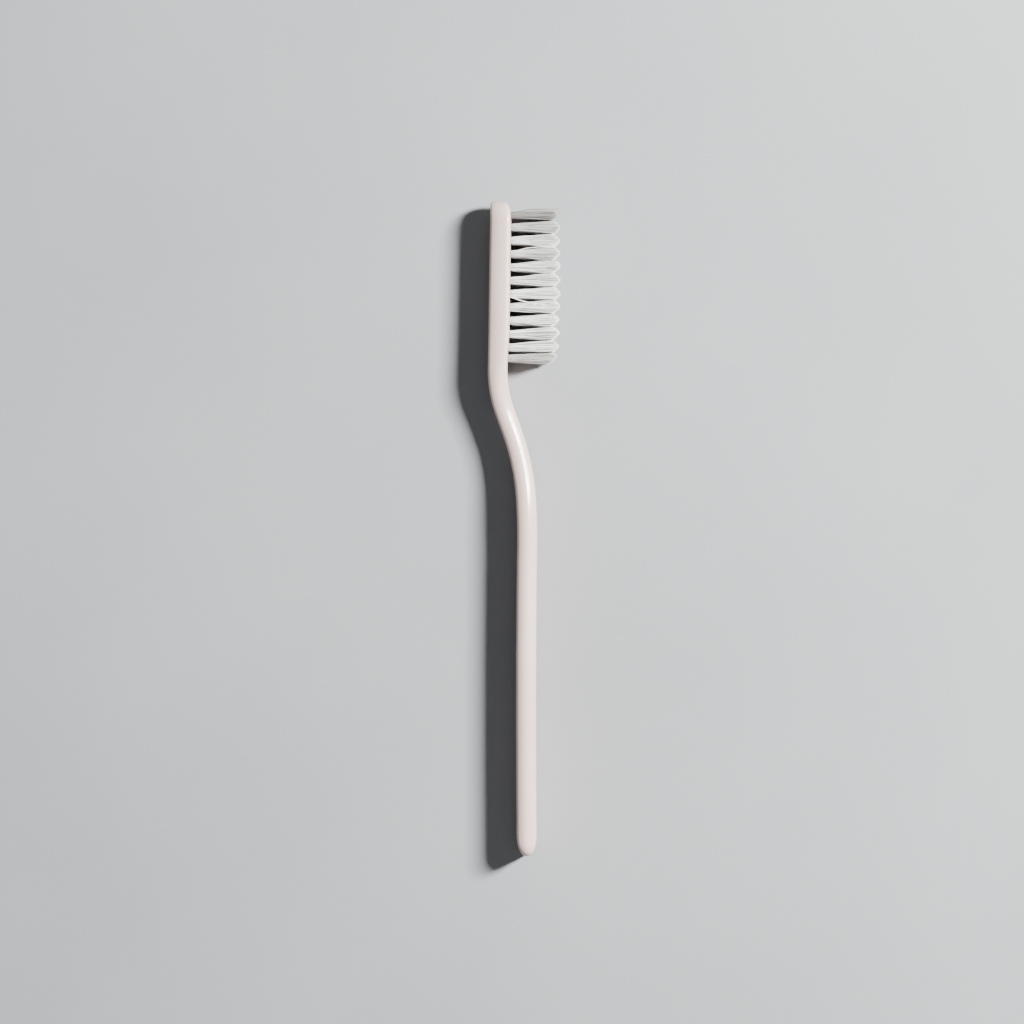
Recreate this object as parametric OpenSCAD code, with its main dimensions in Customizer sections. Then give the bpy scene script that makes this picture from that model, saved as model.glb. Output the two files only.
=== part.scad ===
// Manual toothbrush, lying on its side
// X points the way the bristles do, Y runs from the handle's end to the toe, Z goes across the brush.
// Z = 0 is the plane that the brush lies on. X = Y = 0 is where the grip's centreline runs along Y.
// Places along the handle are lengths of its centreline, measured from the toe.

/* [Head] */
// Length of the straight head, from the toe to where the neck starts to bend
head_length = 42.3; // [35:0.1:51]
// Width of the head and of the grip, which lie flat on the same plane
body_width = 12; // [9.9:0.1:14.4]
// Thickness of the head under the tufts
head_thickness = 5.4; // [5.1:0.05:6.5]
// Radius of the head's long edges
head_edge_radius = 1.1; // [0.8:0.05:1.4]
// Radius of the toe's corners, seen from the front, and reach of the slope on the toe's front edge
toe_corner_radius = 5; // [4:0.1:5.7]
// Drop of the toe's front edge
toe_front_drop = 1.9; // [1.5:0.05:2.3]
// Radius of the toe's back edge
toe_back_radius = 1.1; // [0.8:0.05:1.4]
// Length over which the head's front face falls to the neck
heel_taper_length = 10.6; // [8:0.1:13]
// Backward lean of the head, in degrees
head_lean = 0.9; // [0:0.1:4]

/* [Neck] */
// Width of the neck at its narrowest
neck_width = 8.5; // [6:0.1:10]
// Thickness of the neck
neck_thickness = 5.05; // [4.2:0.05:6]
// Radius of the neck's long edges
neck_edge_radius = 2.35; // [1.6:0.05:2.5]
// Slope of the neck between its two bends, in degrees
neck_slope = 19.8; // [5:0.1:24]
// Radius of the bend that leaves the head
heel_bend_radius = 30; // [24:1:40]
// Length of the straight neck between the bends
neck_straight = 5.5; // [4:0.1:12]
// Radius of the bend that joins the grip
grip_bend_radius = 62; // [50:1:75]
// Radius of the long curve that eases that bend into the grip
ease_radius = 160; // [130:1:200]
// Slope at which the easing curve takes over, in degrees
ease_slope = 3.3; // [2.5:0.1:4]
// Distance from the last tufts to where the shoulders start
shoulder_start = 2.2; // [1.5:0.1:3]
// Length of the shoulders, where the head narrows to the neck
shoulder_length = 13; // [10:0.5:16]
// Length of the neck between the shoulders and the flare
narrow_length = 4; // [3:0.5:12]
// Length of the flare, where the neck widens to the grip
flare_length = 22; // [17:0.5:44]

/* [Grip] */
// Length of the grip, from the end of the easing curve to the handle's end
grip_length = 78.1; // [64:0.1:95]
// Thickness of the grip
grip_thickness = 5.15; // [4.6:0.05:6.2]
// Radius of the grip's long edges
grip_edge_radius = 1.3; // [1:0.05:1.6]
// Slope of the grip where it starts, in degrees
grip_tilt = 0.75; // [0.5:0.05:1]
// Radius of the grip's slight bow
grip_bow_radius = 3200; // [2600:50:4000]
// Length of the rounding at the handle's end, seen from the side
end_side_round = 5; // [4:0.1:6]
// Length of the rounding at the handle's end, seen from the front
end_front_round = 3; // [2.4:0.1:7.2]
// Depth of that rounding, on each side of the end
end_front_drop = 2.2; // [1.6:0.1:4.5]

/* [Tuft pattern] */
// Distance between the main tuft columns, along the head
column_pitch = 3.36; // [2.7:0.02:4]
// Distance between the tuft rows, across the head
row_pitch = 2.65; // [2.5:0.05:3.2]
// Distance from the toe to the first column
toe_margin = 3.5; // [3:0.1:4.2]
// Distance from the first column to the main ones
toe_pitch = 3.1; // [2.6:0.05:3.6]
// Distance from the main columns to the last one
heel_pitch = 2.75; // [2.5:0.05:3.3]
// Least distance from the last column to the neck's bend
heel_margin = 2.6; // [2.1:0.1:3.2]
// Least wall from a hole to the side of the head
side_wall = 0.95; // [0.75:0.05:1.1]
// Diameter of a tuft hole
hole_diameter = 1.8; // [1.5:0.05:2.5]
// Depth of a tuft hole
hole_depth = 3.2; // [2.7:0.1:3.8]

/* [Tufts] */
// Height of the longest bristles over the head's face
bristle_height = 12.7; // [9:0.1:16]
// Depth of the trim's valleys between the columns
trim_depth = 1.4; // [0:0.1:2.5]
// Drop of the two end columns under the others
end_column_drop = 0.6; // [0:0.1:1.5]
// Height at which the fanned tufts meet their neighbours
meeting_height = 9.3; // [6:0.1:11.5]
// Spread of the first column's tips towards the toe, past the hole
toe_spread = 0.2; // [0.15:0.05:0.4]
// Spread of the last column's tips towards the neck, past the hole
heel_spread = 0.7; // [0.15:0.05:1]
// Gap between the tips of neighbouring tufts
tip_gap = 0.12; // [0.08:0.01:0.2]
// Strands in the inner ring of a tuft
inner_strands = 3; // [2:1:3]
// Strands in the outer ring of a tuft
outer_strands = 7; // [5:1:7]

/* [Anchors] */
// Thickness of an anchor plate
anchor_thickness = 0.28; // [0.2:0.01:0.36]
// Height of an anchor plate
anchor_height = 1.4; // [1.1:0.05:1.6]
// Depth to which each end of an anchor bites into the hole's wall
anchor_bite = 0.2; // [0.15:0.01:0.25]
// Length of the chamfer at the anchor's lower corners
anchor_chamfer = 0.15; // [0.1:0.01:0.2]
// Thickness of the folded bristles under an anchor
fold_depth = 0.55; // [0.4:0.05:0.7]

/* [Fits] */
// Gap round a tuft in its hole
tuft_play = 0.02; // [0.01:0.005:0.03]
// Gap round an anchor
anchor_play = 0.02; // [0.01:0.005:0.03]
// Depth of a tuft's solid root under the head's face
root_dip = 0.15; // [0.1:0.01:0.2]

/* [Hidden] */
// Overrun of the cuts
over = 0.6;
// Depth to which strands run into their tuft's root
strand_root_depth = 0.5;
// Size of a strand against its tuft's root, and of the inner ring against the outer one
strand_share = 0.2;
inner_ring_share = 0.36;
// Size of the flat at the handle's very end, against the full section
end_flat_share = 0.12;
// Largest fillet, against the wall that it rounds
fillet_share = 0.48;

// Steps of the handle's surface
toe_steps = 8;
head_steps = 2;
taper_steps = 6;
neck_steps = 40;
grip_steps = 5;
end_steps = 10;
edge_steps = 5;
strand_sides = 3;
$fn = 48;

// Centreline of the handle: each stretch is its length, its first slope and its last slope
function arc_length(radius, turn) = radius * turn * PI / 180;
grip_turn = grip_length / grip_bow_radius * 180 / PI;
stretches = [
    [head_length, -head_lean, -head_lean],
    [arc_length(heel_bend_radius, neck_slope + head_lean), -head_lean, neck_slope],
    [neck_straight, neck_slope, neck_slope],
    [arc_length(grip_bend_radius, neck_slope - ease_slope), neck_slope, ease_slope],
    [arc_length(ease_radius, ease_slope + grip_tilt), ease_slope, -grip_tilt],
    [grip_length, -grip_tilt, grip_turn - grip_tilt],
];
last_stretch = len(stretches) - 1;

function total(values, count) = count == 0 ? 0 : values[count - 1][0] + total(values, count - 1);
handle_length = total(stretches, len(stretches));
grip_start = total(stretches, last_stretch);

// Slope and place after a length of one stretch
function slope_in(stretch, run) = stretch[1] + (stretch[2] - stretch[1]) * run / stretch[0];
function move_in(stretch, run) =
    stretch[1] == stretch[2]
        ? run * [sin(stretch[1]), -cos(stretch[1])]
        : let (radius = stretch[0] / ((stretch[2] - stretch[1]) * PI / 180), end = slope_in(stretch, run))
          radius * [cos(stretch[1]) - cos(end), sin(stretch[1]) - sin(end)];

// Place [x, y] and slope at a length from the toe, before the origin is set
function follow(run, index = 0) =
    let (stretch = stretches[index])
    run <= stretch[0] || index == last_stretch
        ? concat(move_in(stretch, run), [slope_in(stretch, run)])
        : let (rest = follow(run - stretch[0], index + 1), moved = move_in(stretch, stretch[0]))
          [rest[0] + moved[0], rest[1] + moved[1], rest[2]];

// The origin is where the bowed grip runs along Y
origin_run = grip_start + arc_length(grip_bow_radius, grip_tilt);
origin_place = follow(origin_run);
function place(run) = follow(run) - [origin_place[0], origin_place[1], 0];

// Tuft columns along the head and rows across it
main_room = head_length - toe_margin - toe_pitch - heel_pitch - heel_margin;
main_columns = floor(main_room / column_pitch) + 1;
columns = main_columns + 2;
row_room = body_width - hole_diameter - 2 * side_wall;
main_rows = floor(row_room / row_pitch) + 1;
last_main_run = toe_margin + toe_pitch + (main_columns - 1) * column_pitch;
function is_end(column) = column == 0 || column == columns - 1;
function rows(column) = is_end(column) ? main_rows - 1 : main_rows;
function column_run(column) =
    column == 0 ? toe_margin
    : column == columns - 1 ? last_main_run + heel_pitch
    : toe_margin + toe_pitch + (column - 1) * column_pitch;
function row_height(column, row) = body_width / 2 + (row - (rows(column) - 1) / 2) * row_pitch;

// Places along the handle where its section changes
toe_corner = min(toe_corner_radius, fillet_share * body_width);
taper_start = head_length - heel_taper_length;
shoulder_run = column_run(columns - 1) + shoulder_start;
narrow_run = shoulder_run + shoulder_length;
flare_run = narrow_run + narrow_length;
flare_end = flare_run + flare_length;

function blend(run, start, length) =
    let (share = min(1, max(0, (run - start) / length)))
    share * share * (3 - 2 * share);
function mix(a, b, share) = a + (b - a) * share;
function shoulder(run) = blend(run, shoulder_run, shoulder_length);
function flare(run) = blend(run, flare_run, flare_length);
// Inset of an elliptical corner, at a length from its end
function corner_inset(run, reach, drop) =
    run >= reach ? 0 : drop * (1 - sqrt(1 - pow(1 - run / reach, 2)));
// Size that is left near the handle's end, as a share of the full size
function end_share(run, round) =
    let (left = handle_length - run)
    left >= round ? 1 : mix(end_flat_share, 1, sqrt(max(0, 1 - pow(1 - left / round, 2))));

function section_width(run) =
    mix(mix(body_width, neck_width, shoulder(run)), body_width, flare(run))
    - 2 * corner_inset(run, toe_corner, toe_corner)
    - 2 * corner_inset(handle_length - run, end_front_round, end_front_drop);
function side_thickness(run) =
    mix(neck_thickness, grip_thickness, flare(run)) * end_share(run, end_side_round);
function head_extra(run) =
    (head_thickness - neck_thickness) * (1 - blend(run, taper_start, heel_taper_length));
function front_face(run) =
    side_thickness(run) / 2 + head_extra(run) - corner_inset(run, toe_corner, toe_front_drop);
function back_face(run) = -side_thickness(run) / 2 + corner_inset(run, toe_back_radius, toe_back_radius);
function edge_radius(run) =
    let (wanted = mix(mix(head_edge_radius, neck_edge_radius, shoulder(run)), grip_edge_radius, flare(run)))
    min(wanted, fillet_share * (front_face(run) - back_face(run)), fillet_share * section_width(run));

// Outline of one section, as [out of the front, across], in the order of its four rounded corners
function section(run) =
    let (radius = edge_radius(run), half = section_width(run) / 2)
    [
        for (corner = [0 : 3])
            let (
                out = corner == 0 || corner == 3 ? front_face(run) - radius : back_face(run) + radius,
                across = corner < 2 ? half - radius : radius - half
            )
            for (step = [0 : edge_steps])
                let (angle = 90 * (corner + step / edge_steps))
                [out + radius * cos(angle), across + radius * sin(angle)]
    ];

function placed_section(run) =
    let (spot = place(run))
    [
        for (point = section(run))
            [
                spot[0] + point[0] * cos(spot[2]),
                spot[1] + point[0] * sin(spot[2]),
                body_width / 2 - point[1]
            ]
    ];

function steps_between(start, end, count) = [for (step = [1 : count]) mix(start, end, step / count)];
end_reach = max(end_side_round, end_front_round);
end_start = handle_length - end_reach;
curved_end = max(flare_end, grip_start);
runs = concat(
    [for (step = [0 : toe_steps]) toe_corner * (1 - cos(90 * step / toe_steps))],
    steps_between(toe_corner, taper_start, head_steps),
    steps_between(taper_start, head_length, taper_steps),
    steps_between(head_length, curved_end, neck_steps),
    steps_between(curved_end, end_start, grip_steps),
    [for (step = [1 : end_steps]) end_start + end_reach * sin(90 * step / end_steps)]
);

// Surface that joins closed rings of points, with flat ends
module skin(rings) {
    count = len(rings[0]);
    last = (len(rings) - 1) * count;
    sides = [
        for (ring = [0 : len(rings) - 2])
            for (point = [0 : count - 1])
                let (
                    a = ring * count + point,
                    b = ring * count + (point + 1) % count
                )
                each [[a, b, b + count], [a, b + count, a + count]]
    ];
    polyhedron(
        points = [for (ring = rings) each ring],
        faces = concat(
            [[for (point = [count - 1 : -1 : 0]) point]],
            sides,
            [[for (point = [0 : count - 1]) last + point]]
        )
    );
}

// Frame of a tuft: X goes out of the head along the bristles, from the head's face, and Y to the toe
module at_tuft(column, row) {
    run = column_run(column);
    spot = place(run);
    translate([spot[0], spot[1], row_height(column, row)])
        rotate([0, 0, spot[2]])
            translate([front_face(run), 0, 0])
                children();
}

// Cylinder along the bristles, from one height over the head's face to another
module along_bristles(from, to, radius) {
    translate([from, 0, 0])
        rotate([0, 90, 0])
            cylinder(h = to - from, r = radius);
}

// Anchor plate with its lower corners chamfered, or the space for it with play all round
anchor_length = hole_diameter + 2 * anchor_bite;
anchor_floor = fold_depth - hole_depth;
module anchor_plate(play = 0) {
    half = anchor_length / 2 + play;
    low = anchor_floor - play;
    high = anchor_floor + anchor_height + play;
    cut = anchor_chamfer;
    translate([0, 0, -anchor_thickness / 2 - play])
        linear_extrude(anchor_thickness + 2 * play)
            polygon([
                [high, -half],
                [high, half],
                [low + cut, half],
                [low, half - cut],
                [low, cut - half],
                [low + cut, -half]
            ]);
}

// One-piece moulded handle with its blind tuft holes
module handle() {
    color([0.87, 0.84, 0.83])
        difference() {
            skin([for (run = runs) placed_section(run)]);
            for (column = [0 : columns - 1])
                for (row = [0 : rows(column) - 1])
                    at_tuft(column, row) {
                        along_bristles(-hole_depth, over, hole_diameter / 2);
                        anchor_plate(anchor_play);
                    }
        }
}

// Tuft of bristles: a packed root round the anchor, and strands that fan out of it
root_radius = hole_diameter / 2 - tuft_play;
strand_radius = strand_share * root_radius;
ring_radius = root_radius - strand_radius - tuft_play;
row_reach = (row_pitch - tip_gap) / 2 - strand_radius;

// Reach of the outermost tips from a tuft's axis, towards the toe or towards the neck
function open_reach(spread) = ring_radius + spread;
function pitch_reach(pitch) = (pitch - tip_gap) / 2 - strand_radius;
function toe_reach(column) =
    column == 0 ? open_reach(toe_spread)
    : column == 1 ? pitch_reach(toe_pitch)
    : column == columns - 1 ? pitch_reach(heel_pitch)
    : pitch_reach(column_pitch);
function neck_reach(column) =
    column == columns - 1 ? open_reach(heel_spread)
    : column == columns - 2 ? pitch_reach(heel_pitch)
    : column == 0 ? pitch_reach(toe_pitch)
    : pitch_reach(column_pitch);

// Place of a strand across its tuft once it is fanned out
function fanned(column, root) =
    [
        root[0] * (root[0] > 0 ? toe_reach(column) : neck_reach(column)) / ring_radius,
        root[1] * row_reach / ring_radius
    ];
// Height of the trim at a distance along the head from the tuft's axis
function trimmed(column, along) =
    bristle_height
    - (is_end(column) ? end_column_drop : 0)
    - trim_depth * abs(along) / (column_pitch / 2);

function strand_ring(column, centre, height, turn, cut) =
    [
        for (side = [0 : strand_sides - 1])
            let (
                angle = turn - 360 * side / strand_sides,
                along = centre[0] + strand_radius * cos(angle),
                across = centre[1] + strand_radius * sin(angle)
            )
            [cut ? trimmed(column, along) : height, along, across]
    ];

// Strand that fans out up to the meeting height and then runs straight, or is trimmed before it gets there
module strand(column, root, turn) {
    full = fanned(column, root);
    slope = (full - root) / (meeting_height + root_dip);
    lowest = trimmed(column, abs(full[0]) + strand_radius);
    straight = lowest > meeting_height;
    tip = straight ? full : root + slope * (lowest + root_dip);
    skin([
        strand_ring(column, root - slope * strand_root_depth, -root_dip - strand_root_depth, turn, false),
        if (straight) strand_ring(column, tip, meeting_height, turn, false),
        strand_ring(column, tip, meeting_height, turn, true)
    ]);
}

module tuft(column, row) {
    color([0.93, 0.93, 0.91])
        at_tuft(column, row) {
            difference() {
                along_bristles(tuft_play - hole_depth, -root_dip, root_radius);
                anchor_plate(anchor_play);
            }
            for (ring = [[inner_strands, inner_ring_share], [outer_strands, 1]])
                for (index = [0 : ring[0] - 1]) {
                    turn = 360 * index / ring[0];
                    strand(column, ring_radius * ring[1] * [cos(turn), sin(turn)], turn);
                }
        }
}

// Anchors of one column
module anchors(column) {
    color([0.78, 0.66, 0.38])
        for (row = [0 : rows(column) - 1])
            at_tuft(column, row)
                anchor_plate();
}

// Names count from the toe, and rows from the side that the brush lies on
function two_digits(number) = str(number < 10 ? "0" : "", number);
function tuft_name(column, row) = str("tuft_", two_digits(column + 1), "_", row + 1);
function anchors_name(column) = str("anchors_", two_digits(column + 1));

handle();
for (column = [0 : columns - 1]) {
    for (row = [0 : rows(column) - 1])
        tuft(column, row);
    anchors(column);
}
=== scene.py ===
# %% [markdown]
# A manual toothbrush, dressed for its photograph.
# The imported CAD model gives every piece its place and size: a moulded handle, 46 tufts and their anchors.
# This notebook loads that model, makes the handle and the bristles again with the detail that a camera sees,
# and leaves the anchors where they are, under a brass finish.
# The scene is in metres, and most sizes are given in millimetres and multiplied by MM.
# The brush lies on its side: X is the way that the bristles point, Y runs to the toe, and Z goes up.

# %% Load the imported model
import math

import bmesh
import bpy
from mathutils import Matrix, Vector


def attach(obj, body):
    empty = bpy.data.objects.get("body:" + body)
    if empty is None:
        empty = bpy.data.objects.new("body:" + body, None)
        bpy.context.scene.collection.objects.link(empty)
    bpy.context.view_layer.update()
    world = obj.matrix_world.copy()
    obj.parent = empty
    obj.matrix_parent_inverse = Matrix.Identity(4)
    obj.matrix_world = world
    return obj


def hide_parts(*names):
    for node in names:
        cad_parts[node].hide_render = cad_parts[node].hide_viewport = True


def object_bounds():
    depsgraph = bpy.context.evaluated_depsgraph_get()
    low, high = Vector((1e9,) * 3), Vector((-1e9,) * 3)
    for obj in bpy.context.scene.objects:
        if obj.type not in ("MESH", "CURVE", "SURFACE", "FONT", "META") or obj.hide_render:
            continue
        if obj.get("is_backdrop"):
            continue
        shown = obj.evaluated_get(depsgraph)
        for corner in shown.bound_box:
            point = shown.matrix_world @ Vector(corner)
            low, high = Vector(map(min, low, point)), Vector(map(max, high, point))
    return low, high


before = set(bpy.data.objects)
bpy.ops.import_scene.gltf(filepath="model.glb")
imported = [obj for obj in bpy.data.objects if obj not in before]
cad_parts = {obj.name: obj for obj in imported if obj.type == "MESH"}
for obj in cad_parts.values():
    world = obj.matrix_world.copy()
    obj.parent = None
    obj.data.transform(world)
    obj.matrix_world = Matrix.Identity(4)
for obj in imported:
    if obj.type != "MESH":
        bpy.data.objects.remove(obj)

MM = 0.001
cad_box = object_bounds()
print("nodes in the packed model:", len(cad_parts))

# %% [markdown]
# Geometry Nodes and materials are both trees of small nodes, and most of those nodes only do sums.
# Such a tree can be drawn by hand, or every Math node can be added by its own line of script.
# Here a helper holds the tree, and a value that flows through it can be added and multiplied like a number.
# Each sum then adds its Math node by itself, and a formula in the script reads like a formula.

# %% Write node trees as formulas


class Flow:
    """A value that runs through a node tree. Arithmetic on it adds Math nodes."""

    def __init__(self, bench, socket):
        self.bench = bench
        self.socket = socket

    def __add__(self, other):
        return self.bench.sum("ADD", self, other)

    def __radd__(self, other):
        return self.bench.sum("ADD", other, self)

    def __sub__(self, other):
        return self.bench.sum("SUBTRACT", self, other)

    def __rsub__(self, other):
        return self.bench.sum("SUBTRACT", other, self)

    def __mul__(self, other):
        return self.bench.sum("MULTIPLY", self, other)

    def __truediv__(self, other):
        return self.bench.sum("DIVIDE", self, other)

    def __rtruediv__(self, other):
        return self.bench.sum("DIVIDE", other, self)


class Bench:
    """Adds nodes to one tree. An input takes a plain value, a socket or a Flow."""

    def __init__(self, tree):
        self.tree = tree

    def add(self, kind, inputs=None, **settings):
        node = self.tree.nodes.new(kind)
        for name, value in settings.items():
            setattr(node, name, value)
        for name, value in (inputs or {}).items():
            self.feed(node, name, value)
        return node

    def feed(self, node, name, value):
        if isinstance(name, int):
            socket = node.inputs[name]
        else:
            socket = [s for s in node.inputs if s.enabled and s.name == name][0]
        if isinstance(value, Flow):
            value = value.socket
        if isinstance(value, bpy.types.NodeSocket):
            self.tree.links.new(value, socket)
        else:
            socket.default_value = value

    def flow(self, node, name=0):
        if isinstance(name, int):
            return Flow(self, [s for s in node.outputs if s.enabled][name])
        return Flow(self, [s for s in node.outputs if s.enabled and s.name == name][0])

    def sum(self, operation, *values):
        node = self.add("ShaderNodeMath", dict(enumerate(values)), operation=operation)
        return self.flow(node)

    def clamp(self, value):
        node = self.add("ShaderNodeMath", {0: value, 1: 0.0}, operation="ADD", use_clamp=True)
        return self.flow(node)

    def stretched(self, noise):
        """Noise lies mostly between a third and two thirds. This spreads it over 0 to 1."""
        return self.clamp(noise * 3.0 - 1.0)

    def vector(self, x, y, z):
        return self.flow(self.add("ShaderNodeCombineXYZ", {0: x, 1: y, 2: z}))

    def colour(self, a, b, share):
        node = self.add("ShaderNodeMix", {"Factor": share, "A": a, "B": b}, data_type="RGBA")
        return self.flow(node, "Result")

    def noise(self, vector, scale, detail):
        inputs = {"Vector": vector, "Scale": scale, "Detail": detail}
        return self.flow(self.add("ShaderNodeTexNoise", inputs))

    def parts(self, vector):
        node = self.add("ShaderNodeSeparateXYZ", {0: vector})
        return [Flow(self, socket) for socket in node.outputs]


def mix(a, b, share):
    """Value between a and b, for numbers and for flows."""
    return a + (b - a) * share


# %% [markdown]
# A Geometry Nodes tree shows its sizes as named inputs on the modifier.
# The modifier keeps each input under the socket's identifier, so the names are looked up there.
# When a tree has done its work, the result becomes a plain mesh and the modifier goes:
# what is left can be rendered, exported and measured without the tree.

# %% Start and settle a Geometry Nodes tree


def new_group(name, tree_kind, inputs, outputs):
    """New node group with inputs and outputs of (name, kind), its bench, and its inputs as flows."""
    tree = bpy.data.node_groups.new(name, tree_kind)
    for side, sockets in (("INPUT", inputs), ("OUTPUT", outputs)):
        for title, kind in sockets:
            tree.interface.new_socket(title, in_out=side, socket_type="NodeSocket" + kind)
    bench = Bench(tree)
    inlet = tree.nodes.new("NodeGroupInput")
    given = {socket.name: Flow(bench, socket) for socket in inlet.outputs if socket.name}
    return tree, bench, given


def floats(*titles):
    return [(title, "Float") for title in titles]


def geometry_tree(name, inputs):
    """New tree with a geometry in, a geometry out, and the given inputs."""
    geometry = [("Geometry", "Geometry")]
    return new_group(name, "GeometryNodeTree", geometry + inputs, geometry)


def end_tree(bench, geometry, material):
    """Ends a tree with real geometry and its material."""
    real = bench.flow(bench.add("GeometryNodeRealizeInstances", {"Geometry": geometry}))
    dressed = bench.add("GeometryNodeSetMaterial", {"Geometry": real, "Material": material})
    outlet = bench.tree.nodes.new("NodeGroupOutput")
    bench.feed(outlet, "Geometry", dressed.outputs["Geometry"])


def run_tree(piece, tree, values):
    """Runs a tree on a piece with the named values, and leaves a plain mesh."""
    modifier = piece.modifiers.new(tree.name, "NODES")
    modifier.node_group = tree
    for item in tree.interface.items_tree:
        if item.in_out == "INPUT" and item.name in values:
            modifier[item.identifier] = values[item.name]
    graph = bpy.context.evaluated_depsgraph_get()
    mesh = bpy.data.meshes.new_from_object(piece.evaluated_get(graph), depsgraph=graph)
    piece.modifiers.remove(modifier)
    old = piece.data
    piece.data = mesh
    bpy.data.meshes.remove(old)
    mesh.name = piece.name


def mesh_object(name, points, faces=(), attributes=None):
    """New object from points in metres, with float attributes on its points."""
    mesh = bpy.data.meshes.new(name)
    mesh.from_pydata(points, [], faces)
    for title, values in (attributes or {}).items():
        mesh.attributes.new(title, "FLOAT", "POINT").data.foreach_set("value", values)
    piece = bpy.data.objects.new(name, mesh)
    bpy.context.scene.collection.objects.link(piece)
    return piece


def volume(piece):
    """Volume inside a piece in cubic millimetres, which is positive when its faces point outwards."""
    shape = bmesh.new()
    shape.from_mesh(piece.data)
    inside = shape.calc_volume(signed=True) / MM**3
    open_edges = sum(1 for edge in shape.edges if not edge.is_manifold)
    shape.free()
    return round(inside, 1), open_edges


# %% [markdown]
# The handle follows a rule: a centreline of straights and arcs, and a rounded section that changes along it.
# The head is straight and leans back a little, the neck bends forward and back again in a long S,
# and the grip is a slightly bowed bar. It could be modelled by pushing a subdivided box into shape,
# but its long even curves would wobble. Sweeping a section along the exact centreline keeps them clean.

# %% Centreline of the handle
BODY_WIDTH = 12.0
HEAD_LENGTH = 42.3
HEAD_LEAN = 0.9
NECK_SLOPE = 19.8
EASE_SLOPE = 3.3
GRIP_TILT = 0.75
NECK_LENGTH = 5.5
GRIP_LENGTH = 78.1
HEEL_BEND_RADIUS = 30.0
GRIP_BEND_RADIUS = 62.0
EASE_RADIUS = 160.0
GRIP_BOW_RADIUS = 3200.0


def arc_length(radius, degrees):
    return radius * math.radians(degrees)


# Each stretch: length in millimetres, slope at its start and slope at its end in degrees
STRETCHES = [
    (HEAD_LENGTH, -HEAD_LEAN, -HEAD_LEAN),
    (arc_length(HEEL_BEND_RADIUS, NECK_SLOPE + HEAD_LEAN), -HEAD_LEAN, NECK_SLOPE),
    (NECK_LENGTH, NECK_SLOPE, NECK_SLOPE),
    (arc_length(GRIP_BEND_RADIUS, NECK_SLOPE - EASE_SLOPE), NECK_SLOPE, EASE_SLOPE),
    (arc_length(EASE_RADIUS, EASE_SLOPE + GRIP_TILT), EASE_SLOPE, -GRIP_TILT),
    (GRIP_LENGTH, -GRIP_TILT, math.degrees(GRIP_LENGTH / GRIP_BOW_RADIUS) - GRIP_TILT),
]
HANDLE_LENGTH = sum(stretch[0] for stretch in STRETCHES)
GRIP_START = HANDLE_LENGTH - GRIP_LENGTH


def follow(run):
    """X, Y and slope of the centreline at a length from the toe, measured from its start."""
    x = y = 0.0
    for length, start, end in STRETCHES:
        last = (length, start, end) == STRETCHES[-1]
        step = run if last else min(run, length)
        here = start + (end - start) * step / length
        a, b = math.radians(start), math.radians(here)
        if start == end:
            x += step * math.sin(a)
            y -= step * math.cos(a)
        else:
            radius = length / math.radians(end - start)
            x += radius * (math.cos(a) - math.cos(b))
            y += radius * (math.sin(a) - math.sin(b))
        run -= step
        if run <= 0:
            break
    return x, y, here


ORIGIN = follow(GRIP_START + arc_length(GRIP_BOW_RADIUS, GRIP_TILT))


def place(run):
    """X, Y and slope of the centreline in the brush's own frame."""
    x, y, slope = follow(run)
    return x - ORIGIN[0], y - ORIGIN[1], slope


print("handle along its centreline:", round(HANDLE_LENGTH, 1), "mm")

# %% [markdown]
# The section is a rounded rectangle. Along the handle its thickness, its width and the radius of its edges
# change smoothly: it is broad at the head, narrow at the neck and broad again at the grip.
# Moulded faces that look flat are a little crowned, which is what makes their highlights soft,
# so each face bulges by a shallow parabola that runs into the corners' arcs without a crease.
# The sides also rise to a soft ridge, and the light falls differently on the two faces beside it.
# On the neck and the grip it lies a little nearer to the back than to the bristle side, between faces that
# lean about twenty degrees each way. On the head there is only a crown, highest near the bristle side.
# Ridge and crown are cut inwards, and the handle keeps the CAD model's box.

# %% Sizes along the handle
TOE_CORNER = 5.0
TOE_DROP = 1.9
TOE_BACK_ROUND = 1.1
NECK_WIDTH = 8.5
NECK_THICKNESS = 5.05
GRIP_THICKNESS = 5.15
HEAD_EXTRA = 0.35
TAPER_LENGTH = 10.6
SHOULDER_LENGTH = 13.0
NARROW_LENGTH = 4.0
FLARE_LENGTH = 22.0
END_FLAT = 0.12
END_SIDE_ROUND = 5.0
END_FRONT_ROUND = 3.0
END_FRONT_DROP = 2.2
HEAD_EDGE = 1.1
EDGE = 1.2
EDGE_LIMIT = 0.46
FRONT_TILT = 3.0
SIDE_RUN = 36.0
SIDE_LENGTH = 13.0
HEAD_RIDGE = 0.85
HEAD_CROWN = 0.28
SIDE_RIDGE = -0.24
SIDE_BLUNT = 0.145
SIDE_SWING = 0.37
SIDE_CROWN = 0.21

MAIN_COLUMNS = 10
COLUMN_PITCH = 3.36
TOE_PITCH = 3.1
HEEL_PITCH = 2.75
TOE_MARGIN = 3.5
HEEL_MARGIN = 2.2
COLUMN_RUNS = [TOE_MARGIN]
COLUMN_RUNS += [TOE_MARGIN + TOE_PITCH + i * COLUMN_PITCH for i in range(MAIN_COLUMNS)]
COLUMN_RUNS += [COLUMN_RUNS[-1] + HEEL_PITCH]

SHOULDER_RUN = COLUMN_RUNS[-1] + HEEL_MARGIN
FLARE_RUN = SHOULDER_RUN + SHOULDER_LENGTH + NARROW_LENGTH
FLARE_END = FLARE_RUN + FLARE_LENGTH


def blend(run, start, length):
    share = min(1.0, max(0.0, (run - start) / length))
    return share * share * (3 - 2 * share)


def quarter_arc(share):
    """Height of a quarter circle of radius 1, from 0 at its foot to 1 at its top."""
    return math.sqrt(max(0.0, 1 - (1 - share) ** 2))


def corner_inset(run, reach, drop):
    """Inset of an elliptical corner, at a length from its end."""
    if run >= reach:
        return 0.0
    return drop * (1 - quarter_arc(run / reach))


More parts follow.
